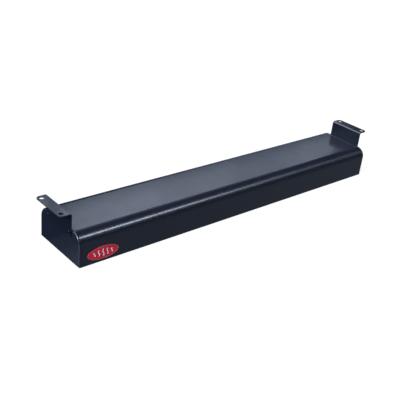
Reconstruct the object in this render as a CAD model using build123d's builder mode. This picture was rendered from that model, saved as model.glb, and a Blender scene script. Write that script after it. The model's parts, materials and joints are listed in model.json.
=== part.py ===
"""Infrared strip heater for holding food warm, hung under a shelf by two end brackets.

Millimetres. X runs along the heater, the front faces -Y and +Z is up.
The origin is at the centre of the bottom rim.
"""

import os
from math import cos, radians, sin, sqrt

from build123d import *

os.makedirs("parts", exist_ok=True)

# Overall sizes
length = 914.0  # over the faces of the two end caps
depth = 153.0
height = 76.0  # bottom rim to the top of the housing
corner_radius = 24.5  # front and back shoulders
rim_radius = 1.0

# Housing extrusion
wall = 2.0
ledge_bottom = 4.0
ledge_thickness = 2.0
ledge_width = 12.5
boss_y = 41.0
boss_z = 69.9
boss_radius = 4.5
boss_slit = 1.6

# Cast end caps
cap_depth = 8.0
cap_wall = 2.5
cap_edge_radius = 5.0
cap_seam_chamfer = 0.5
cap_tab = (7.0, 1.5, 24.0)  # along X, Y and Z
cap_tab_z = 34.0

# Hanging brackets, bent from strip
bracket_width = 97.0
bracket_sheet = 1.9
bracket_bend = 3.0  # inside radius
bracket_reach = 28.5  # flange, outwards from the end cap
bracket_top = 114.0
bracket_leg_bottom = 59.4
bracket_corner = 9.5
shelf_hole_radius = 5.0
shelf_hole_out = 18.5  # outwards from the end cap
shelf_hole_y = 38.0

# Bracket screws, M5
screw_radius = 2.45
screw_hole_radius = 2.5
screw_clearance_radius = 2.75
screw_head_radius = 4.5
screw_head_height = 2.9
screw_length = 26.0

# Sheet metal screws under the heater, M3
small_screw_radius = 1.45
small_hole_radius = 1.5
small_head_radius = 3.0
small_head_height = 1.9
small_screw_reach = 1.5  # beyond the last sheet

# Reflector trough
reflector_left = -405.0
reflector_right = 353.0
reflector_sheet = 0.8
reflector_flange_y = 72.0
reflector_foot_y = 60.0
reflector_knee = (47.0, 38.0)
reflector_roof_y = 26.0
reflector_roof_z = 55.0
reflector_bend = 3.0
reflector_screw_x = (-380.0, -26.0, 328.0)
end_plate_sheet = 1.0
end_plate_gap = 0.1
end_tab_length = 12.0
end_tab_width = 32.0
rivet_radius = 1.55
rivet_hole_radius = 1.6
rivet_head_radius = 3.0
rivet_head_height = 1.0
rivet_tail_radius = 2.5
rivet_y = 10.0

# Heating element and what carries it
element_radius = 4.75
element_z = 36.0
element_overrun = 14.0  # beyond each end of the reflector
bushing_radius = 9.0
bushing_flange_radius = 12.0
bushing_length = 14.0
bushing_flange = 3.0
bushing_bore_gap = 0.1
hanger_x = (-216.0, -26.0, 164.0)
hanger_width = 12.0
hanger_sheet = 1.0
hanger_foot = 13.0
insulator_radius = 3.9
insulator_length = 5.0
stud_radius = 2.0
stud_length = 19.0
nut_flats = 7.0
nut_height = 3.2
ring_sheet = 0.8
ring_radius = 4.0
ring_stem_z = 7.0  # from the stud axis to the foot of the crimp barrel
barrel_radius = 2.3
barrel_length = 6.0
wire_radius = 1.5
wire_gap = 0.05

# Covers under the two ends
cover_sheet = 1.2
cover_gap = 0.3
left_cover_inner = -402.0
wiring_cover_inner = 350.0
cover_end_gap = 0.5
left_cover_screw_x = (-429.0,)
wiring_cover_screw_x = (362.0, 438.0)

# Switch in the right end cap
switch_y = -34.0
switch_z = 34.0
switch_body = (24.0, 18.0, 30.0)  # along X, Y and Z
switch_bushing_radius = 5.9
switch_bushing_out = 8.0  # outwards from the end cap
switch_hole_gap = 0.2
switch_bore_radius = 3.2
switch_mouth_radius = 2.8
switch_mouth_depth = 2.5
switch_nut_flats = 14.0
switch_nut_height = 2.4
switch_washer_radius = 8.0
switch_washer_height = 0.8
switch_tab = (8.0, 6.3, 0.8)
switch_tab_z = 8.0  # above and below the middle of the switch
lever_pivot_out = 3.0  # outwards from the end cap
lever_tilt = 13.0
lever_ball_radius = 3.1
lever_neck_radius = 1.3
lever_tip_radius = 2.7
lever_length = 18.0
lever_neck_end = 5.0
lever_tail = 6.0

# Wire entry in the right end cap
entry_y = 34.0
entry_z = 34.0
entry_hole_radius = 11.1
entry_body_radius = 11.0
entry_bore_radius = 8.0
entry_flange_radius = 13.5
entry_flange = 2.0
entry_barb_radius = 11.9
entry_inside = 8.0  # inwards from the end cap

# Terminal block on the right end plate
block = (18.0, 32.0, 16.0)  # along X, Y and Z
block_y = 30.0
block_z = 18.0
pole_y = (22.0, 38.0)
pole_x = 11.0  # from the end plate
pole_hole_depth = 7.0
pole_screw_radius = 2.6
pole_rib = (4.0, 2.0)
ground_screw_x = 400.0

# Oval badge on the front
badge_x = -399.0
badge_z = 22.0
badge_width = 76.0
badge_height = 30.0
badge_base = 0.9
badge_relief = 0.5
badge_rim = 1.1
wave_heights = (9.0, 14.0, 17.0, 14.0, 9.0)
wave_swing = 3.0
wave_line = 1.9
wave_pitch = 10.5

# Worked out from the above
half_length = length / 2
housing_half = half_length - cap_depth
cap_inner = half_length - cap_wall
inner_half_depth = depth / 2 - wall
ledge_top = ledge_bottom + ledge_thickness
ledge_inner_y = inner_half_depth - ledge_width
ledge_screw_y = inner_half_depth - ledge_width / 2
roof_under = height - wall
bracket_face = half_length + bracket_sheet
pivot = (half_length + lever_pivot_out, switch_y, switch_z)


def save(piece, name):
    """Labels one finished piece and writes it to its own file."""
    piece.part.label = name
    export_step(piece.part, f"parts/{name}.step")


def arch(inset, base, foot_radius=0.0):
    """Closed section of the housing, moved inwards by inset and cut off at height base."""
    half = depth / 2 - inset
    top = height - inset
    shoulder = corner_radius - inset
    return FilletPolyline(
        (-half, base),
        (-half, top),
        (half, top),
        (half, base),
        radius=[foot_radius, shoulder, shoulder, foot_radius],
        close=True,
    )


def trough():
    """Underside of the reflector's section between its two flanges, front to back."""
    knee_y, knee_z = reflector_knee
    return [
        (-reflector_foot_y, ledge_top),
        (-knee_y, knee_z),
        (-reflector_roof_y, reflector_roof_z),
        (reflector_roof_y, reflector_roof_z),
        (knee_y, knee_z),
        (reflector_foot_y, ledge_top),
    ]


def across(x, side):
    """Section plane at x whose normal points out of the end on that side."""
    return Plane(origin=(x, 0, 0), x_dir=(0, side, 0), z_dir=(side, 0, 0))


# ---------------------------------------------------------------- housing
with BuildPart() as housing:
    with BuildSketch(Plane.YZ.offset(-housing_half)):
        with BuildLine():
            arch(0, 0, rim_radius)
        make_face()
        with BuildLine():
            arch(wall, ledge_top)
        make_face(mode=Mode.SUBTRACT)
        with Locations((0, ledge_bottom / 2)):
            Rectangle(2 * inner_half_depth, ledge_bottom, mode=Mode.SUBTRACT)
        with Locations((0, ledge_bottom + ledge_thickness / 2)):
            Rectangle(2 * ledge_inner_y, ledge_thickness, mode=Mode.SUBTRACT)
        with Locations((-boss_y, boss_z), (boss_y, boss_z)):
            Circle(boss_radius)
        with Locations((-boss_y, boss_z), (boss_y, boss_z)):
            Circle(screw_hole_radius, mode=Mode.SUBTRACT)
            Rectangle(boss_slit, boss_radius + 1, align=(Align.CENTER, Align.MAX), mode=Mode.SUBTRACT)
    extrude(amount=2 * housing_half)
    ledge_hole_x = (*left_cover_screw_x, *reflector_screw_x, *wiring_cover_screw_x)
    with BuildSketch(Plane.XY.offset(ledge_bottom)):
        for hole_x in ledge_hole_x:
            with Locations((hole_x, -ledge_screw_y), (hole_x, ledge_screw_y)):
                Circle(small_hole_radius)
        with Locations((ground_screw_x, ledge_screw_y)):
            Circle(small_hole_radius)
    extrude(amount=ledge_thickness, mode=Mode.SUBTRACT)
save(housing, "housing")


# ---------------------------------------------------------------- end caps
def end_cap(side):
    """Cast pan that closes one end, with two posts that bear on the housing's screw bosses."""
    tab_x, tab_y, tab_z = cap_tab
    with BuildPart() as cap:
        with BuildSketch(across(side * housing_half, side)):
            with BuildLine():
                arch(0, 0, rim_radius)
            make_face()
        extrude(amount=cap_depth)
        outer_face = cap.faces().sort_by(Axis.X)[-1 if side > 0 else 0]
        fillet(outer_face.edges(), cap_edge_radius)
        seam_face = cap.faces().sort_by(Axis.X)[0 if side > 0 else -1]
        chamfer(seam_face.edges(), cap_seam_chamfer)
        with BuildSketch(across(side * housing_half, side)):
            with BuildLine():
                arch(cap_wall, cap_wall)
            make_face()
        extrude(amount=cap_depth - cap_wall, mode=Mode.SUBTRACT)
        with BuildSketch(across(side * housing_half, side)):
            with Locations((-boss_y, boss_z), (boss_y, boss_z)):
                Circle(boss_radius)
        extrude(amount=cap_depth - cap_wall)
        with BuildSketch(across(side * housing_half, side)):
            with Locations((-boss_y, boss_z), (boss_y, boss_z)):
                Circle(screw_clearance_radius)
        extrude(amount=cap_depth, mode=Mode.SUBTRACT)
        tab_plane = across(side * (housing_half - tab_x), side)
        tab_middle = inner_half_depth - cover_gap - tab_y / 2
        with BuildSketch(tab_plane):
            with Locations((-tab_middle, cap_tab_z), (tab_middle, cap_tab_z)):
                Rectangle(tab_y, tab_z)
        extrude(amount=tab_x + cap_depth - cap_wall)
        if side > 0:
            with BuildSketch(across(housing_half, side)):
                with Locations((switch_y, switch_z)):
                    Circle(switch_bushing_radius + switch_hole_gap)
                with Locations((entry_y, entry_z)):
                    Circle(entry_hole_radius)
            extrude(amount=cap_depth, mode=Mode.SUBTRACT)
    return cap


save(end_cap(-1), "end_cap_left")
save(end_cap(1), "end_cap_right")


# ---------------------------------------------------------------- hanging brackets
def bracket(side):
    """L-shaped strip: the leg is screwed to the end, the flange turns outwards at the top."""
    cap_face = side * half_length
    leg_face = side * bracket_face
    flange_end = side * (half_length + bracket_reach)
    flange_under = bracket_top - bracket_sheet
    with BuildPart() as strip:
        with BuildSketch(Plane.XZ):
            with BuildLine():
                FilletPolyline(
                    (cap_face, bracket_leg_bottom),
                    (cap_face, bracket_top),
                    (flange_end, bracket_top),
                    (flange_end, flange_under),
                    (leg_face, flange_under),
                    (leg_face, bracket_leg_bottom),
                    radius=[0, bracket_bend + bracket_sheet, 0, 0, bracket_bend, 0],
                    close=True,
                )
            make_face()
        extrude(amount=bracket_width / 2, both=True)
        flange_corners = strip.edges().filter_by(Axis.Z).group_by(Axis.X)[-1 if side > 0 else 0]
        fillet(flange_corners, bracket_corner)
        leg_corners = strip.edges().filter_by(Axis.X).group_by(Axis.Z)[0]
        fillet(leg_corners, bracket_bend)
        with BuildSketch(Plane.XY.offset(flange_under)):
            shelf_hole_x = side * (half_length + shelf_hole_out)
            with Locations((shelf_hole_x, -shelf_hole_y), (shelf_hole_x, shelf_hole_y)):
                Circle(shelf_hole_radius)
        extrude(amount=bracket_sheet, mode=Mode.SUBTRACT)
        with BuildSketch(across(cap_face, side)):
            with Locations((-boss_y, boss_z), (boss_y, boss_z)):
                Circle(screw_clearance_radius)
        extrude(amount=bracket_sheet, mode=Mode.SUBTRACT)
    return strip


save(bracket(-1), "bracket_left")
save(bracket(1), "bracket_right")


# ---------------------------------------------------------------- screws
def pan_screw(head_radius, head_height, shank_radius, shank_length):
    """Cross-recess pan head screw. Its seat is at z = 0 and its shank points down."""
    with BuildPart() as screw:
        with BuildSketch(Plane.XY):
            Circle(head_radius)
        extrude(amount=head_height)
        fillet(screw.edges().group_by(Axis.Z)[-1], head_height * 0.55)
        with BuildSketch(Plane.XY.offset(head_height)):
            Rectangle(head_radius * 0.95, head_radius * 0.24)
            Rectangle(head_radius * 0.24, head_radius * 0.95)
        extrude(amount=-head_height * 0.6, taper=12, mode=Mode.SUBTRACT)
        with BuildSketch(Plane.XY):
            Circle(shank_radius)
        extrude(amount=-shank_length)
        chamfer(screw.edges().group_by(Axis.Z)[0], shank_radius * 0.3)
    return screw.part


def upwards(x, y, z):
    return Plane(origin=(x, y, z), z_dir=(0, 0, 1))


def downwards(x, y, z):
    return Plane(origin=(x, y, z), z_dir=(0, 0, -1))


def outwards(x, y, z, side):
    return Plane(origin=(x, y, z), x_dir=(0, 1, 0), z_dir=(side, 0, 0))


bracket_screw = pan_screw(screw_head_radius, screw_head_height, screw_radius, screw_length)
with BuildPart() as bracket_screws:
    for side in (-1, 1):
        for y in (-boss_y, boss_y):
            with Locations(outwards(side * bracket_face, y, boss_z, side)):
                add(bracket_screw)
save(bracket_screws, "bracket_screws")

cover_screw_length = cover_sheet + ledge_thickness + small_screw_reach
cover_screw = pan_screw(small_head_radius, small_head_height, small_screw_radius, cover_screw_length)
with BuildPart() as cover_screws:
    for x in (*left_cover_screw_x, *wiring_cover_screw_x):
        for y in (-ledge_screw_y, ledge_screw_y):
            with Locations(downwards(x, y, ledge_bottom - cover_sheet)):
                add(cover_screw)
save(cover_screws, "cover_screws")

flange_screw_length = ledge_thickness + reflector_sheet + small_screw_reach
flange_screw = pan_screw(small_head_radius, small_head_height, small_screw_radius, flange_screw_length)
with BuildPart() as reflector_screws:
    for x in reflector_screw_x:
        for y in (-ledge_screw_y, ledge_screw_y):
            with Locations(downwards(x, y, ledge_bottom)):
                add(flange_screw)
save(reflector_screws, "reflector_screws")


# ---------------------------------------------------------------- reflector
reflector_length = reflector_right - reflector_left
hanger_rivet_y = hanger_foot * 0.6
end_rivet_x = (
    reflector_left + end_plate_sheet + end_tab_length * 0.55,
    reflector_right - end_plate_sheet - end_tab_length * 0.55,
)

with BuildPart() as reflector:
    with BuildSketch(Plane.YZ.offset(reflector_left)):
        with BuildLine():
            FilletPolyline(
                (-reflector_flange_y, ledge_top),
                *trough(),
                (reflector_flange_y, ledge_top),
                radius=reflector_bend,
            )
            offset(amount=reflector_sheet, side=Side.LEFT)
        make_face()
    extrude(amount=reflector_length)
    with BuildSketch(Plane.XY.offset(ledge_top)):
        for hole_x in reflector_screw_x:
            with Locations((hole_x, -ledge_screw_y), (hole_x, ledge_screw_y)):
                Circle(small_hole_radius)
    extrude(amount=reflector_sheet, mode=Mode.SUBTRACT)
    with BuildSketch(Plane.XY.offset(reflector_roof_z)):
        for hole_x in end_rivet_x:
            with Locations((hole_x, -rivet_y), (hole_x, rivet_y)):
                Circle(rivet_hole_radius)
        for hole_x in hanger_x:
            with Locations((hole_x, hanger_rivet_y)):
                Circle(rivet_hole_radius)
    extrude(amount=reflector_sheet, mode=Mode.SUBTRACT)
save(reflector, "reflector")


def reflector_end(side):
    """Plate that closes one end of the trough, with a tab riveted under the trough's roof."""
    outer_x = reflector_right if side > 0 else reflector_left
    tab_middle = outer_x - side * (end_plate_sheet + end_tab_length / 2)
    rivet_x = end_rivet_x[1] if side > 0 else end_rivet_x[0]
    with BuildPart() as plate:
        with BuildSketch(across(outer_x, -side)):
            with BuildLine():
                FilletPolyline(*trough(), radius=[0, *[reflector_bend] * 4, 0], close=True)
            make_face()
            offset(amount=-end_plate_gap, kind=Kind.INTERSECTION)
            with Locations((0, element_z)):
                Circle(bushing_radius + bushing_bore_gap, mode=Mode.SUBTRACT)
        extrude(amount=end_plate_sheet)
        with BuildSketch(Plane.XY.offset(reflector_roof_z - end_plate_gap)):
            with Locations((tab_middle, 0)):
                Rectangle(end_tab_length, end_tab_width)
        extrude(amount=-end_plate_sheet)
        with BuildSketch(Plane.XY.offset(reflector_roof_z)):
            with Locations((rivet_x, -rivet_y), (rivet_x, rivet_y)):
                Circle(rivet_hole_radius)
        extrude(amount=-2 * end_plate_sheet, mode=Mode.SUBTRACT)
        if side > 0:
            with BuildSketch(across(outer_x, -side)):
                with Locations((-block_y, block_z)):
                    Circle(small_hole_radius)
            extrude(amount=end_plate_sheet, mode=Mode.SUBTRACT)
    return plate


save(reflector_end(-1), "reflector_end_left")
save(reflector_end(1), "reflector_end_right")

with BuildPart() as rivet:
    grip_bottom = -end_plate_gap - end_plate_sheet
    with BuildSketch(Plane.XY.offset(grip_bottom)):
        Circle(rivet_head_radius)
    extrude(amount=-rivet_head_height)
    fillet(rivet.edges().group_by(Axis.Z)[0], rivet_head_height * 0.7)
    with BuildSketch(Plane.XY.offset(grip_bottom)):
        Circle(rivet_radius)
    extrude(amount=reflector_sheet - grip_bottom)
    with BuildSketch(Plane.XY.offset(reflector_sheet)):
        Circle(rivet_tail_radius)
    extrude(amount=rivet_head_height)

with BuildPart() as reflector_rivets:
    for x in end_rivet_x:
        with Locations(upwards(x, -rivet_y, reflector_roof_z), upwards(x, rivet_y, reflector_roof_z)):
            add(rivet.part)
    for x in hanger_x:
        with Locations(upwards(x, hanger_rivet_y, reflector_roof_z)):
            add(rivet.part)
save(reflector_rivets, "reflector_rivets")


# ---------------------------------------------------------------- heating element
element_left = reflector_left - element_overrun
element_right = reflector_right + element_overrun

with BuildPart() as heating_element:
    with BuildSketch(Plane.YZ.offset(element_left)):
        with Locations((0, element_z)):
            Circle(element_radius)
    extrude(amount=element_right - element_left)
    fillet(heating_element.edges().filter_by(GeomType.CIRCLE), 0.8)
save(heating_element, "heating_element")


def element_bushing(side):
    """Ceramic bushing that carries the element through the plate at one end of the trough."""
    outer_x = reflector_right if side > 0 else reflector_left
    with BuildPart() as bushing:
        with BuildSketch(across(outer_x, side)):
            with Locations((0, element_z)):
                Circle(bushing_flange_radius)
        extrude(amount=bushing_flange)
        with BuildSketch(across(outer_x + side * bushing_flange, -side)):
            with Locations((0, element_z)):
                Circle(bushing_radius)
        extrude(amount=bushing_length)
        fillet(bushing.edges().filter_by(GeomType.CIRCLE).group_by(Axis.X)[-1 if side > 0 else 0], 0.8)
        fillet(bushing.edges().filter_by(GeomType.CIRCLE).group_by(Axis.X)[0 if side > 0 else -1], 0.8)
        with BuildSketch(across(outer_x + side * bushing_flange, -side)):
            with Locations((0, element_z)):
                Circle(element_radius + bushing_bore_gap)
        extrude(amount=bushing_length, mode=Mode.SUBTRACT)
    return bushing


save(element_bushing(-1), "element_bushing_left")
save(element_bushing(1), "element_bushing_right")


def element_hanger(x):
    """Strap riveted under the reflector's roof, with a ring that carries the element."""
    roof = reflector_roof_z - end_plate_gap
    ring_inside = element_radius + bushing_bore_gap
    with BuildPart() as hanger:
        with BuildSketch(Plane.YZ.offset(x - hanger_width / 2)):
            with Locations((0, element_z)):
                Circle(ring_inside + hanger_sheet)
            with Locations((0, element_z)):
                Rectangle(hanger_sheet, roof - element_z, align=(Align.CENTER, Align.MIN))
            with Locations((-hanger_sheet / 2, roof)):
                Rectangle(hanger_foot, hanger_sheet, align=(Align.MIN, Align.MAX))
            with Locations((0, element_z)):
                Circle(ring_inside, mode=Mode.SUBTRACT)
        extrude(amount=hanger_width)
        foot_corners = hanger.edges().filter_by(Axis.Z).group_by(Axis.Y)[-1]
        fillet(foot_corners, hanger_width * 0.3)
        with BuildSketch(Plane.XY.offset(roof)):
            with Locations((x, hanger_rivet_y)):
                Circle(rivet_hole_radius)
        extrude(amount=-hanger_sheet, mode=Mode.SUBTRACT)
    return hanger


for hanger_name, x in zip(("element_hanger_left", "element_hanger_middle", "element_hanger_right"), hanger_x):
    save(element_hanger(x), hanger_name)

# Terminals at the two ends of the element, outwards along its axis
element_ends = ((-1, element_left), (1, element_right))

with BuildPart() as element_insulators:
    for side, end_x in element_ends:
        with BuildSketch(across(end_x, side)):
            with Locations((0, element_z)):
                Circle(insulator_radius)
                Circle(stud_radius + wire_gap, mode=Mode.SUBTRACT)
        extrude(amount=insulator_length)
save(element_insulators, "element_insulators")

with BuildPart() as element_studs:
    for side, end_x in element_ends:
        with BuildSketch(across(end_x, side)):
            with Locations((0, element_z)):
                Circle(stud_radius)
        extrude(amount=stud_length)
save(element_studs, "element_studs")

inner_nut_at = insulator_length + 1.0
ring_at = inner_nut_at + nut_height
outer_nut_at = ring_at + ring_sheet

with BuildPart() as terminal_nuts:
    for side, end_x in element_ends:
        for nut_at in (inner_nut_at, outer_nut_at):
            with BuildSketch(across(end_x + side * nut_at, side)):
                with Locations((0, element_z)):
                    RegularPolygon(nut_flats / 2, 6, major_radius=False)
                    Circle(stud_radius + wire_gap, mode=Mode.SUBTRACT)
            extrude(amount=nut_height)
save(terminal_nuts, "terminal_nuts")

with BuildPart() as ring_terminals:
    for side, end_x in element_ends:
        ring_x = end_x + side * ring_at
        with BuildSketch(across(ring_x, side)):
            with Locations((0, element_z)):
                Circle(ring_radius)
                Rectangle(barrel_radius * 2, ring_stem_z + 1, align=(Align.CENTER, Align.MIN))
                Circle(stud_radius + wire_gap, mode=Mode.SUBTRACT)
        extrude(amount=ring_sheet)
        barrel_x = ring_x + side * ring_sheet / 2
        with BuildSketch(Plane.XY.offset(element_z + ring_stem_z)):
            with Locations((barrel_x, 0)):
                Circle(barrel_radius)
        extrude(amount=barrel_length)
        with BuildSketch(Plane.XY.offset(element_z + ring_stem_z + 1)):
            with Locations((barrel_x, 0)):
                Circle(wire_radius + wire_gap)
        extrude(amount=barrel_length, mode=Mode.SUBTRACT)
save(ring_terminals, "ring_terminals")


# ---------------------------------------------------------------- covers
def cover(inner_x, outer_x, screw_x):
    """Flat plate screwed to the undersides of the two ledges."""
    with BuildPart() as plate:
        with BuildSketch(Plane.XY.offset(ledge_bottom)):
            with Locations(((inner_x + outer_x) / 2, 0)):
                RectangleRounded(abs(outer_x - inner_x), 2 * (inner_half_depth - cover_gap), 2)
            for x in screw_x:
                with Locations((x, -ledge_screw_y), (x, ledge_screw_y)):
                    Circle(small_hole_radius, mode=Mode.SUBTRACT)
        extrude(amount=-cover_sheet)
    return plate


cover_end = housing_half - cover_end_gap
save(cover(left_cover_inner, -cover_end, left_cover_screw_x), "left_cover")
save(cover(wiring_cover_inner, cover_end, wiring_cover_screw_x), "wiring_cover")

# ---------------------------------------------------------------- switch
switch_x, switch_depth, switch_tall = switch_body
switch_back = cap_inner - switch_x
mouth_x = half_length + switch_bushing_out

with BuildPart() as switch:
    with BuildSketch(across(switch_back, 1)):
        with Locations((switch_y, switch_z)):
            RectangleRounded(switch_depth, switch_tall, 1.5)
    extrude(amount=switch_x)
    with BuildSketch(across(cap_inner, 1)):
        with Locations((switch_y, switch_z)):
            Circle(switch_bushing_radius)
    extrude(amount=mouth_x - cap_inner)
    chamfer(switch.edges().group_by(Axis.X)[-1], 0.6)
    with BuildSketch(across(mouth_x, -1)):
        with Locations((-switch_y, switch_z)):
            Circle(switch_mouth_radius)
    extrude(amount=switch_mouth_depth, mode=Mode.SUBTRACT)
    bore_bottom = pivot[0] - lever_tail - 1.5
    with BuildSketch(across(bore_bottom, 1)):
        with Locations((switch_y, switch_z)):
            Circle(switch_bore_radius)
    extrude(amount=mouth_x - switch_mouth_depth - bore_bottom, mode=Mode.SUBTRACT)
save(switch, "switch")

tab_x, tab_wide, tab_sheet = switch_tab
with BuildPart() as switch_tabs:
    for tab_z in (switch_z - switch_tab_z, switch_z + switch_tab_z):
        with BuildSketch(across(switch_back, -1)):
            with Locations((-switch_y, tab_z)):
                Rectangle(tab_wide, tab_sheet)
        extrude(amount=tab_x)
save(switch_tabs, "switch_tabs")

with BuildPart() as switch_washer:
    with BuildSketch(across(half_length, 1)):
        with Locations((switch_y, switch_z)):
            Circle(switch_washer_radius)
            Circle(switch_bushing_radius + wire_gap, mode=Mode.SUBTRACT)
    extrude(amount=switch_washer_height)
save(switch_washer, "switch_washer")

with BuildPart() as switch_nut:
    with BuildSketch(across(half_length + switch_washer_height, 1)):
        with Locations((switch_y, switch_z)):
            RegularPolygon(switch_nut_flats / 2, 6, major_radius=False)
            Circle(switch_bushing_radius + wire_gap, mode=Mode.SUBTRACT)
    extrude(amount=switch_nut_height)
save(switch_nut, "switch_nut")

# The lever turns about Y through its ball. At rest it points outwards and tilts down.
lever_axis = (cos(radians(lever_tilt)), 0, -sin(radians(lever_tilt)))
lever_plane = Plane(origin=pivot, x_dir=lever_axis, z_dir=(0, -1, 0))
ball_end = sqrt(lever_ball_radius**2 - lever_neck_radius**2)
tip_start = lever_length - lever_tip_radius
with BuildPart() as switch_lever:
    with BuildSketch(lever_plane):
        with BuildLine():
            Polyline((-lever_tail, 0), (-lever_tail, lever_neck_radius), (-ball_end, lever_neck_radius))
            ThreePointArc(
                (-ball_end, lever_neck_radius),
                (0, lever_ball_radius),
                (ball_end, lever_neck_radius),
            )
            Polyline(
                (ball_end, lever_neck_radius),
                (lever_neck_end, lever_neck_radius),
                (tip_start, lever_tip_radius),
            )
            RadiusArc((tip_start, lever_tip_radius), (lever_length, 0), lever_tip_radius)
            Line((lever_length, 0), (-lever_tail, 0))
        make_face()
    revolve(axis=Axis(pivot, lever_axis))
save(switch_lever, "switch_lever")

# ---------------------------------------------------------------- wire entry
with BuildPart() as wire_entry_bushing:
    with BuildSketch(across(half_length - entry_inside, 1)):
        with Locations((entry_y, entry_z)):
            Circle(entry_body_radius)
    extrude(amount=entry_inside)
    with BuildSketch(across(half_length, 1)):
        with Locations((entry_y, entry_z)):
            Circle(entry_flange_radius)
    extrude(amount=entry_flange)
    fillet(wire_entry_bushing.edges().group_by(Axis.X)[-1], entry_flange * 0.6)
    with BuildSketch(across(cap_inner - wire_gap, -1)):
        with Locations((-entry_y, entry_z)):
            Circle(entry_barb_radius)
    extrude(amount=2, taper=20)
    with BuildSketch(across(half_length - entry_inside, 1)):
        with Locations((entry_y, entry_z)):
            Circle(entry_bore_radius)
    extrude(amount=entry_inside + entry_flange, mode=Mode.SUBTRACT)
save(wire_entry_bushing, "wire_entry_bushing")

# ---------------------------------------------------------------- terminal block
block_x, block_wide, block_tall = block
block_front = reflector_right + block_x
block_top = block_z + block_tall / 2
with BuildPart() as terminal_block:
    with BuildSketch(across(reflector_right, 1)):
        with Locations((block_y, block_z)):
            Rectangle(block_wide, block_tall)
    extrude(amount=block_x)
    rib_out, rib_wide = pole_rib
    with BuildSketch(across(block_front, 1)):
        with Locations((block_y - block_wide / 2 + rib_wide / 2, block_z)):
            Rectangle(rib_wide, block_tall)
        with Locations((block_y, block_z), (block_y + block_wide / 2 - rib_wide / 2, block_z)):
            Rectangle(rib_wide, block_tall)
    extrude(amount=rib_out)
    with BuildSketch(Plane.XY.offset(block_top)):
        for y in pole_y:
            with Locations((reflector_right + pole_x, y)):
                Circle(wire_radius + wire_gap)
    extrude(amount=-pole_hole_depth, mode=Mode.SUBTRACT)
    with BuildSketch(Plane.XY.offset(block_top - block_tall)):
        for y in pole_y:
            with Locations((reflector_right + pole_x, y)):
                Circle(wire_radius * 1.3)
    extrude(amount=pole_hole_depth, mode=Mode.SUBTRACT)
    with BuildSketch(across(reflector_right, 1)):
        with Locations((block_y, block_z)):
            Circle(small_hole_radius)
    extrude(amount=block_x + rib_out, mode=Mode.SUBTRACT)
save(terminal_block, "terminal_block")

pole_screw = pan_screw(pole_screw_radius, 1.6, 1.2, 0.8)
with BuildPart() as terminal_screws:
    for y in pole_y:
        with Locations(outwards(block_front + 0.8, y, block_z, 1)):
            add(pole_screw)
save(terminal_screws, "terminal_screws")

ground_screw_part = pan_screw(small_head_radius, small_head_height, small_screw_radius, ledge_thickness)
with BuildPart() as ground_screw:
    with Locations(upwards(ground_screw_x, ledge_screw_y, ledge_top)):
        add(ground_screw_part)
save(ground_screw, "ground_screw")


# ---------------------------------------------------------------- lead wires
def lead_wire(route, bend):
    """Round wire along straight runs joined by tangent arcs."""
    first, second = Vector(route[0]), Vector(route[1])
    with BuildPart() as wire:
        with BuildLine() as path:
            FilletPolyline(*route, radius=bend)
        with BuildSketch(Plane(origin=first, z_dir=second - first)):
            Circle(wire_radius)
        sweep(path=path.wires()[0])
    return wire


ring_middle = ring_at + ring_sheet / 2
barrel_foot = element_z + ring_stem_z + 1
pole_bottom = block_top - pole_hole_depth
left_ring_x = element_left - ring_middle
right_ring_x = element_right + ring_middle
block_pole_x = reflector_right + pole_x
tab_end = switch_back - tab_x
wireway_z = 64.0

return_route = [
    (left_ring_x, 0, barrel_foot),
    (left_ring_x, 0, wireway_z),
    (-395, pole_y[0], wireway_z),
    (block_pole_x, pole_y[0], wireway_z),
    (block_pole_x, pole_y[0], pole_bottom),
]
save(lead_wire(return_route, 8), "return_wire")

supply_route = [
    (block_pole_x, pole_y[1], pole_bottom),
    (block_pole_x, pole_y[1], wireway_z + 2),
    (tab_end - 14, switch_y, wireway_z + 2),
    (tab_end - 14, switch_y, switch_z + switch_tab_z),
    (tab_end, switch_y, switch_z + switch_tab_z),
]
save(lead_wire(supply_route, 7), "supply_wire")

element_route = [
    (right_ring_x, 0, barrel_foot),
    (right_ring_x, 0, barrel_foot + 13),
    (tab_end - 26, switch_y, barrel_foot + 13),
    (tab_end - 26, switch_y, switch_z - switch_tab_z),
    (tab_end, switch_y, switch_z - switch_tab_z),
]
save(lead_wire(element_route, 6), "element_wire")


# ---------------------------------------------------------------- badge
def heat_wave(x, tall):
    """One upright wavy line of the badge's raised pattern."""
    quarter = tall / 4
    return Spline(
        (x, -2 * quarter),
        (x + wave_swing / 2, -quarter),
        (x, 0),
        (x - wave_swing / 2, quarter),
        (x, 2 * quarter),
    )


badge_plane = Plane(origin=(badge_x, -depth / 2, badge_z), x_dir=(1, 0, 0), z_dir=(0, -1, 0))
with BuildPart() as badge:
    with BuildSketch(badge_plane):
        Ellipse(badge_width / 2, badge_height / 2)
    extrude(amount=badge_base)
    with BuildSketch(badge_plane.offset(badge_base)):
        Ellipse(badge_width / 2, badge_height / 2)
        Ellipse(badge_width / 2 - badge_rim, badge_height / 2 - badge_rim, mode=Mode.SUBTRACT)
        for step, tall in enumerate(wave_heights):
            with BuildLine() as wave:
                heat_wave((step - len(wave_heights) // 2) * wave_pitch, tall)
            trace(lines=wave.line, line_width=wave_line)
    extrude(amount=badge_relief)
save(badge, "badge")
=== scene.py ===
import json
from math import pi, radians

import bpy
from mathutils import Matrix, Vector

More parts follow.
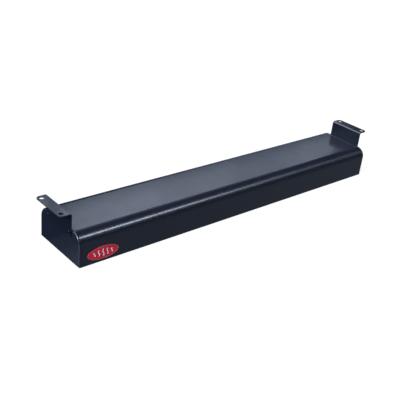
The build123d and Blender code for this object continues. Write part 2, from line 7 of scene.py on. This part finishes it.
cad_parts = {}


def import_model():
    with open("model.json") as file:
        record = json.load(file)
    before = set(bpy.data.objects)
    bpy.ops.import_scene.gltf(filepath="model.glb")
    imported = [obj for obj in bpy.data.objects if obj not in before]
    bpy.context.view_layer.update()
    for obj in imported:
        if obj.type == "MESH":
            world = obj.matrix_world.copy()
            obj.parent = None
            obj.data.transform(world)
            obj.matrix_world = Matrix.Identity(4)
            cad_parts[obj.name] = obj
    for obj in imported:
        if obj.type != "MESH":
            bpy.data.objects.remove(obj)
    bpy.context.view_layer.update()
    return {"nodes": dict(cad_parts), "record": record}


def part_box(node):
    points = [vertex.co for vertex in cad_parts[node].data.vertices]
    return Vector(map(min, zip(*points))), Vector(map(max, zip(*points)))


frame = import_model()
nodes = frame["nodes"]
scene = bpy.context.scene
MM = 0.001


# ------------------------------------------------------------------ node helpers
class Graph:
    """A node tree, with short calls for the nodes that the finishes and the world share."""

    def __init__(self, tree, coordinates):
        self.tree = tree
        tree.nodes.clear()
        self.place = tree.nodes.new("ShaderNodeTexCoord").outputs[coordinates]

    def link(self, source, target):
        self.tree.links.new(source, target)

    def feed(self, target, value):
        """Gives an input either a number, a colour or another node's output."""
        if isinstance(value, bpy.types.NodeSocket):
            self.link(value, target)
        elif hasattr(value, "__len__") and len(value) == 3 and target.type == "RGBA":
            target.default_value = (*value, 1)
        else:
            target.default_value = value

    def stretched(self, scale):
        node = self.tree.nodes.new("ShaderNodeMapping")
        node.inputs["Scale"].default_value = scale
        self.link(self.place, node.inputs["Vector"])
        return node.outputs["Vector"]

    def noise(self, size, detail=3.0, roughness=0.5, place=None):
        """Smooth noise from 0 to 1 whose blobs are about size metres across."""
        node = self.tree.nodes.new("ShaderNodeTexNoise")
        node.inputs["Scale"].default_value = 1 / size
        node.inputs["Detail"].default_value = detail
        node.inputs["Roughness"].default_value = roughness
        self.link(place or self.place, node.inputs["Vector"])
        return node.outputs["Fac"]

    def spread(self, value, low, high, start=0.3, end=0.7, smooth=False):
        """Takes value from start..end to low..high."""
        node = self.tree.nodes.new("ShaderNodeMapRange")
        node.interpolation_type = "SMOOTHSTEP" if smooth else "LINEAR"
        node.inputs["From Min"].default_value = start
        node.inputs["From Max"].default_value = end
        node.inputs["To Min"].default_value = low
        node.inputs["To Max"].default_value = high
        self.link(value, node.inputs["Value"])
        return node.outputs["Result"]

    def maths(self, operation, first, second=0.0):
        node = self.tree.nodes.new("ShaderNodeMath")
        node.operation = operation
        self.feed(node.inputs[0], first)
        self.feed(node.inputs[1], second)
        return node.outputs["Value"]

    def dot(self, direction):
        node = self.tree.nodes.new("ShaderNodeVectorMath")
        node.operation = "DOT_PRODUCT"
        self.link(self.place, node.inputs[0])
        node.inputs[1].default_value = direction
        return node.outputs["Value"]

    def axis(self, name):
        node = self.tree.nodes.new("ShaderNodeSeparateXYZ")
        self.link(self.place, node.inputs["Vector"])
        return node.outputs[name]

    def mix(self, share, first, second):
        node = self.tree.nodes.new("ShaderNodeMix")
        node.data_type = "RGBA"
        self.feed(node.inputs["Factor"], share)
        self.feed(node.inputs["A"], first)
        self.feed(node.inputs["B"], second)
        return node.outputs["Result"]


class Finish(Graph):
    """A material with one Principled shader."""

    def __init__(self, name):
        self.material = bpy.data.materials.new(name)
        self.material.use_nodes = True
        super().__init__(self.material.node_tree, "Object")
        output = self.tree.nodes.new("ShaderNodeOutputMaterial")
        self.shader = self.tree.nodes.new("ShaderNodeBsdfPrincipled")
        self.link(self.shader.outputs["BSDF"], output.inputs["Surface"])

    def set(self, **inputs):
        for name, value in inputs.items():
            self.feed(self.shader.inputs[name.replace("_", " ")], value)

    def bump(self, height, depth, under=None):
        """Bump of height 0 to 1, depth metres deep, laid over another bump."""
        node = self.tree.nodes.new("ShaderNodeBump")
        node.inputs["Distance"].default_value = depth
        node.inputs["Strength"].default_value = 1.0
        self.link(height, node.inputs["Height"])
        if under is not None:
            self.link(under, node.inputs["Normal"])
        self.link(node.outputs["Normal"], self.shader.inputs["Normal"])
        return node.outputs["Normal"]


# ------------------------------------------------------------------ finishes
def powder_coat(name, colour, roughness, peel_depth):
    """Baked powder coat: slight cloudiness, orange peel, a fine grain and a thin gloss over it."""
    g = Finish(name)
    cloud = g.spread(g.noise(90 * MM, 4), 0, 1)
    deeper = tuple(c * 0.82 for c in colour)
    g.set(Base_Color=g.mix(cloud, deeper, colour))
    patches = g.noise(35 * MM, 3)
    g.set(Roughness=g.spread(patches, roughness - 0.025, roughness + 0.03))
    g.set(IOR=1.5, Coat_Weight=0.35, Coat_Roughness=0.12)
    peel = g.bump(g.noise(3.2 * MM, 2), peel_depth)
    g.bump(g.noise(0.7 * MM, 2), peel_depth * 0.12, under=peel)
    return g.material


def rolled_sheet(name, colour, roughness, grain=0.09, heat=None):
    """Rolled sheet metal with its grain along X, and slight handling marks."""
    g = Finish(name)
    lines = g.noise(1.0 * MM, 3, 0.6, g.stretched((0.01, 1, 1)))
    smears = g.noise(60 * MM, 4)
    shade = tuple(c * 0.9 for c in colour)
    g.set(Base_Color=g.mix(g.spread(smears, 0, 1), shade, colour), Metallic=1.0)
    if heat is not None:
        low, high, tint = heat
        near = g.spread(g.axis("Z"), 0, 1, low, high)
        patchy = g.maths("MULTIPLY", near, g.spread(g.noise(70 * MM, 4), 0.2, 0.8))
        g.set(Base_Color=g.mix(patchy, colour, tint))
    streaks = g.spread(lines, roughness - grain, roughness + grain)
    g.set(Roughness=g.maths("ADD", streaks, g.spread(smears, 0, 0.06)), Anisotropic=0.4)
    g.bump(lines, 0.02 * MM)
    return g.material


def plated(name, colour, roughness):
    """Plated small metal: cloudy plating and fine scratches."""
    g = Finish(name)
    cloud = g.noise(2.5 * MM, 3)
    fine = g.noise(0.5 * MM, 4, 0.7)
    shade = tuple(c * 0.8 for c in colour)
    g.set(Base_Color=g.mix(g.spread(cloud, 0, 1), shade, colour), Metallic=1.0)
    g.set(Roughness=g.spread(fine, roughness - 0.06, roughness + 0.1))
    g.bump(fine, 0.015 * MM)
    return g.material


def oxidised_sheath(name):
    """Element sheath after use: brown-grey scale with bluish patches, running round the rod."""
    g = Finish(name)
    patches = g.spread(g.noise(22 * MM, 5, 0.6), 0, 1)
    bands = g.spread(g.noise(9 * MM, 3, 0.6, g.stretched((1, 0.2, 0.2))), 0, 1)
    brown = g.mix(patches, (0.11, 0.085, 0.068), (0.21, 0.175, 0.15))
    g.set(Base_Color=g.mix(g.maths("MULTIPLY", bands, 0.45), brown, (0.14, 0.155, 0.185)))
    g.set(Metallic=0.75, Roughness=g.spread(patches, 0.42, 0.6))
    g.bump(g.noise(0.8 * MM, 4, 0.6), 0.05 * MM)
    return g.material


def fired_clay(name, colour):
    """Unglazed ceramic: off-white, with darker specks and a fine tooth."""
    g = Finish(name)
    specks = g.spread(g.noise(0.9 * MM, 2, 0.7), 1, 0, 0.28, 0.36)
    stain = g.spread(g.noise(9 * MM, 3), 0, 0.6)
    aged = tuple(c * s for c, s in zip(colour, (0.86, 0.80, 0.70)))
    body = g.mix(stain, colour, aged)
    speckled = g.mix(g.maths("MULTIPLY", specks, 0.5), body, (0.30, 0.25, 0.19))
    g.set(Base_Color=speckled, Roughness=0.62)
    g.bump(g.noise(0.45 * MM, 3), 0.04 * MM)
    return g.material


def moulded(name, colour, roughness):
    """Moulded plastic with a fine texture from its mould."""
    g = Finish(name)
    wear = g.spread(g.noise(6 * MM, 3), 0, 1)
    g.set(Base_Color=g.mix(wear, colour, tuple(min(1, c * 1.25 + 0.004) for c in colour)))
    g.set(Roughness=g.spread(g.noise(3 * MM, 3), roughness - 0.05, roughness + 0.08))
    g.bump(g.noise(0.4 * MM, 2), 0.03 * MM)
    return g.material


def braided(name, colour):
    """Woven glass sleeve: two sets of fine diagonal strands."""
    g = Finish(name)
    along = g.maths("ADD", g.axis("X"), g.axis("Z"))
    round_it = g.maths("ADD", g.axis("Y"), g.maths("MULTIPLY", g.axis("Z"), 0.3))
    pitch = 2 * pi / (1.1 * MM)
    one = g.maths("SINE", g.maths("MULTIPLY", g.maths("ADD", along, round_it), pitch))
    other = g.maths("SINE", g.maths("MULTIPLY", g.maths("SUBTRACT", along, round_it), pitch))
    weave = g.spread(g.maths("MULTIPLY", one, other), 0, 1, -1, 1)
    g.set(Base_Color=g.mix(weave, tuple(c * 0.6 for c in colour), colour), Roughness=0.8)
    g.set(Sheen_Weight=0.2)
    g.bump(weave, 0.08 * MM)
    return g.material


def enamel_badge(name):
    """Red plate whose raised waves are pale, with a dull red-grey rim."""
    g = Finish(name)
    low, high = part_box("badge")
    middle, half = (low + high) / 2, (high - low) / 2
    raised = g.spread(g.axis("Y"), 1, 0, low.y + 0.1 * MM, low.y + 0.2 * MM)
    across = g.maths("DIVIDE", g.maths("SUBTRACT", g.axis("X"), middle.x), half.x)
    upwards = g.maths("DIVIDE", g.maths("SUBTRACT", g.axis("Z"), middle.z), half.z)
    across, upwards = (g.maths("MULTIPLY", off, off) for off in (across, upwards))
    outwards = g.maths("ADD", across, upwards)
    pale, rim = (0.92, 0.90, 0.90), (0.34, 0.13, 0.15)
    relief = g.mix(g.spread(outwards, 0, 1, 0.78, 0.82), pale, rim)
    red = g.mix(g.spread(g.noise(12 * MM, 2), 0, 1), (0.60, 0.008, 0.020), (0.70, 0.012, 0.027))
    g.set(Base_Color=g.mix(raised, red, relief))
    g.set(Metallic=g.maths("MULTIPLY", raised, 0.15))
    g.set(Roughness=g.spread(g.noise(2 * MM, 3), 0.2, 0.3), Coat_Weight=0.3, Coat_Roughness=0.1)
    g.bump(g.noise(1.5 * MM, 2), 0.01 * MM)
    return g.material


# ------------------------------------------------------------------ finishes by slot
NAVY = (0.0052, 0.0074, 0.0135)
BLACK_PAINT = (0.0044, 0.0064, 0.0118)
finishes = {
    "navy_powder_coat": powder_coat("navy_powder_coat", NAVY, 0.34, 0.06 * MM),
    "black_painted_steel": powder_coat("black_painted_steel", BLACK_PAINT, 0.31, 0.05 * MM),
    "black_screws": plated("black_screws", (0.032, 0.036, 0.044), 0.45),
    "zinc_screws": plated("zinc_screws", (0.62, 0.63, 0.64), 0.30),
    "green_screw": plated("green_screw", (0.06, 0.30, 0.12), 0.35),
    "bright_aluminium": rolled_sheet(
        "bright_aluminium",
        (0.86, 0.87, 0.88),
        0.26,
        0.03,
        heat=(38 * MM, 58 * MM, (0.80, 0.70, 0.52)),
    ),
    "rivet_aluminium": plated("rivet_aluminium", (0.72, 0.73, 0.74), 0.35),
    "element_sheath": oxidised_sheath("element_sheath"),
    "white_ceramic": fired_clay("white_ceramic", (0.80, 0.77, 0.70)),
    "hanger_steel": rolled_sheet("hanger_steel", (0.48, 0.46, 0.43), 0.38),
    "terminal_brass": plated("terminal_brass", (0.72, 0.56, 0.30), 0.32),
    "satin_steel_cover": rolled_sheet("satin_steel_cover", (0.66, 0.67, 0.68), 0.36),
    "switch_black_plastic": moulded("switch_black_plastic", (0.018, 0.018, 0.019), 0.35),
    "chrome_trim": plated("chrome_trim", (0.78, 0.78, 0.79), 0.14),
    "chrome_lever": plated("chrome_lever", (0.82, 0.82, 0.83), 0.10),
    "bushing_nylon": moulded("bushing_nylon", (0.020, 0.020, 0.021), 0.5),
    "block_ceramic": fired_clay("block_ceramic", (0.78, 0.74, 0.66)),
    "wire_white": braided("wire_white", (0.72, 0.70, 0.63)),
    "wire_black": braided("wire_black", (0.030, 0.030, 0.032)),
    "badge_red": enamel_badge("badge_red"),
}
for part in frame["record"]["subparts"]:
    obj = nodes[part["node"]]
    obj.data.materials.clear()
    obj.data.materials.append(finishes[part["material_slot"]])


# ------------------------------------------------------------------ stage
COOL = (0.88, 1.0, 1.25)
WHITE = (1, 1, 1)
FLOOR_HALF, FLOOR_DROP = 12.0, 0.5 * MM
FLOOR_SEEN, FLOOR_UNSEEN = 0.93, 0.34
FLOOR_BOUNCE = (0.72, 0.92, 1.25)
SKY_LOW, SKY_HIGH = 0.01, 0.05
# Far softboxes: direction of the middle, direction of the length, size, feathers, strength.
# Sizes and feathers are tangents, as seen from the heater, along the length and across it.
SOFTBOXES = {
    "shoulder": ((0.46, -0.588, 0.662), (0.27, 0.135, -0.164), (0.06, 0.09), (0.26, 0.05), 23.0),
    "bend": ((-0.38, 0.56, 0.72), (1, 0, 0), (0.60, 0.40), (0.3, 0.3), 4.6),
    "rim_low": ((-0.73, -0.46, -0.51), (1, -1, 0), (0.20, 0.30), (0.2, 0.2), 1.6),
    "rim_high": ((-0.872, -0.160, 0.500), (0.05, 0.61, 0.65), (0.16, 0.10), (0.22, 0.06), 80.0),
    "front_low": ((0.62, -0.63, -0.46), (1, 1, 0), (1.2, 0.5), (0.5, 0.4), 0.18),
    "nadir": ((0, 0, -1), (1, 0, 0), (0.8, 0.8), (0.4, 0.4), 0.7),
    "right_side": ((1, 0.5, -0.25), (0, 1, 0), (0.6, 0.2), (0.3, 0.2), 1.2),
}
# Panels behind the heater, from the left: middle along X, width, power.
BACK_PANELS = (
    (0.03, 0.10, 0.32),
    (0.39, 0.48, 1.46),
    (0.85, 0.44, 1.02),
    (1.29, 0.44, 0.72),
    (1.66, 0.30, 0.60),
)
BACK_PANEL_Y, BACK_PANEL_Z, BACK_PANEL_HEIGHT = 1.0, 0.90, 0.4
# Low cards beside the left end, one over the other, so that their light fades towards the back.
LEFT_CARD_WIDTHS = (0.05, 0.07, 0.10, 0.15)
LEFT_CARD_X, LEFT_CARD_FRONT, LEFT_CARD_LENGTH = -0.615, -0.10, 0.31
LEFT_CARD_POWER = 0.046  # for each metre of width
CAMERA_PLACE = (-1.11081, -1.09910, 0.80426)
CAMERA_AZIMUTH, CAMERA_ELEVATION, CAMERA_ROLL = 43.400, -27.374, 6.526  # degrees
CAMERA_LENS, SENSOR_WIDTH = 63.81, 36.0


def floor():
    """White floor just under the heater: it lights the pieces but they don't mirror it."""
    mesh = bpy.data.meshes.new("floor")
    half, z = FLOOR_HALF, -FLOOR_DROP
    corners = [(-half, -half, z), (half, -half, z), (half, half, z), (-half, half, z)]
    mesh.from_pydata(corners, [], [(0, 1, 2, 3)])
    obj = bpy.data.objects.new("floor", mesh)
    scene.collection.objects.link(obj)
    g = Finish("floor_white")
    speck = g.noise(0.4, 3)
    g.set(Base_Color=g.mix(speck, (0.08, 0.08, 0.08), (0.09, 0.09, 0.09)), Roughness=0.9)
    seen = g.tree.nodes.new("ShaderNodeLightPath").outputs["Is Camera Ray"]
    g.set(Emission_Color=g.mix(seen, FLOOR_BOUNCE, WHITE))
    g.set(Emission_Strength=g.spread(seen, FLOOR_UNSEEN, FLOOR_SEEN, 0, 1))
    g.set(Specular_IOR_Level=0.0)
    mesh.materials.append(g.material)
    obj.visible_glossy = False


def softbox(sky, toward, along, size, feathers, strength):
    """Light from one far panel, centred on toward, with its length along and feathered edges."""
    centre = Vector(toward).normalized()
    right = (Vector(along) - Vector(along).project(centre)).normalized()
    ahead = sky.dot(centre)
    reach = sky.maths("MAXIMUM", ahead, 0.001)
    lit = sky.maths("GREATER_THAN", ahead, 0.001)
    for direction, wide, feather in zip((right, centre.cross(right)), size, feathers):
        off = sky.maths("ABSOLUTE", sky.maths("DIVIDE", sky.dot(direction), reach))
        share = sky.spread(off, 1, 0, wide / 2, wide / 2 + feather, smooth=True)
        lit = sky.maths("MULTIPLY", lit, share)
    return sky.maths("MULTIPLY", lit, strength)


def world():
    """Dim all round with far softboxes, and plain white where the camera looks past the floor."""
    made = bpy.data.worlds.new("studio")
    scene.world = made
    made.use_nodes = True
    sky = Graph(made.node_tree, "Generated")
    total = sky.spread(sky.axis("Z"), SKY_LOW, SKY_HIGH, 0.1, 0.7)
    for box in SOFTBOXES.values():
        total = sky.maths("ADD", total, softbox(sky, *box))
    lighting = sky.tree.nodes.new("ShaderNodeBackground")
    lighting.inputs["Color"].default_value = (*COOL, 1)
    sky.link(total, lighting.inputs["Strength"])
    white = sky.tree.nodes.new("ShaderNodeBackground")
    white.inputs["Color"].default_value = (*WHITE, 1)
    choose = sky.tree.nodes.new("ShaderNodeMixShader")
    rays = sky.tree.nodes.new("ShaderNodeLightPath")
    sky.link(rays.outputs["Is Camera Ray"], choose.inputs["Fac"])
    sky.link(lighting.outputs["Background"], choose.inputs[1])
    sky.link(white.outputs["Background"], choose.inputs[2])
    output = sky.tree.nodes.new("ShaderNodeOutputWorld")
    sky.link(choose.outputs["Shader"], output.inputs["Surface"])


def area_light(name, place, target, size, power):
    data = bpy.data.lights.new(name, "AREA")
    data.shape = "RECTANGLE"
    data.size, data.size_y = size
    data.energy = power
    data.color = COOL
    obj = bpy.data.objects.new(name, data)
    obj.location = place
    obj.rotation_euler = (Vector(target) - Vector(place)).to_track_quat("-Z", "Y").to_euler()
    obj.visible_camera = False
    scene.collection.objects.link(obj)


def panels():
    """Panels side by side behind the heater, for the top, and low cards for the left end."""
    y, z = BACK_PANEL_Y, BACK_PANEL_Z
    for number, (x, width, power) in enumerate(BACK_PANELS):
        area_light(f"back_panel_{number}", (x, y, z), (x, 0, z), (width, BACK_PANEL_HEIGHT), power)
    x = LEFT_CARD_X
    for number, width in enumerate(LEFT_CARD_WIDTHS):
        y, z = width / 2 + LEFT_CARD_FRONT, (len(LEFT_CARD_WIDTHS) - number) * MM
        size, power = (LEFT_CARD_LENGTH, width), LEFT_CARD_POWER * width
        area_light(f"left_card_{number}", (x, y, z), (x, y, 1), size, power)


def camera():
    """The view of the photograph: solved place, direction, roll and lens."""
    data = bpy.data.cameras.new("camera")
    data.lens = CAMERA_LENS
    data.sensor_width = SENSOR_WIDTH
    data.clip_start = 0.05
    data.clip_end = 60
    obj = bpy.data.objects.new("camera", data)
    azimuth, elevation, roll = (radians(a) for a in (CAMERA_AZIMUTH, CAMERA_ELEVATION, CAMERA_ROLL))
    turn = Matrix.Rotation(-azimuth, 4, "Z") @ Matrix.Rotation(pi / 2 + elevation, 4, "X")
    turn = turn @ Matrix.Rotation(roll, 4, "Z")
    obj.matrix_world = Matrix.Translation(CAMERA_PLACE) @ turn
    scene.collection.objects.link(obj)
    scene.camera = obj


camera()
floor()
world()
panels()
scene.view_settings.view_transform = "Standard"
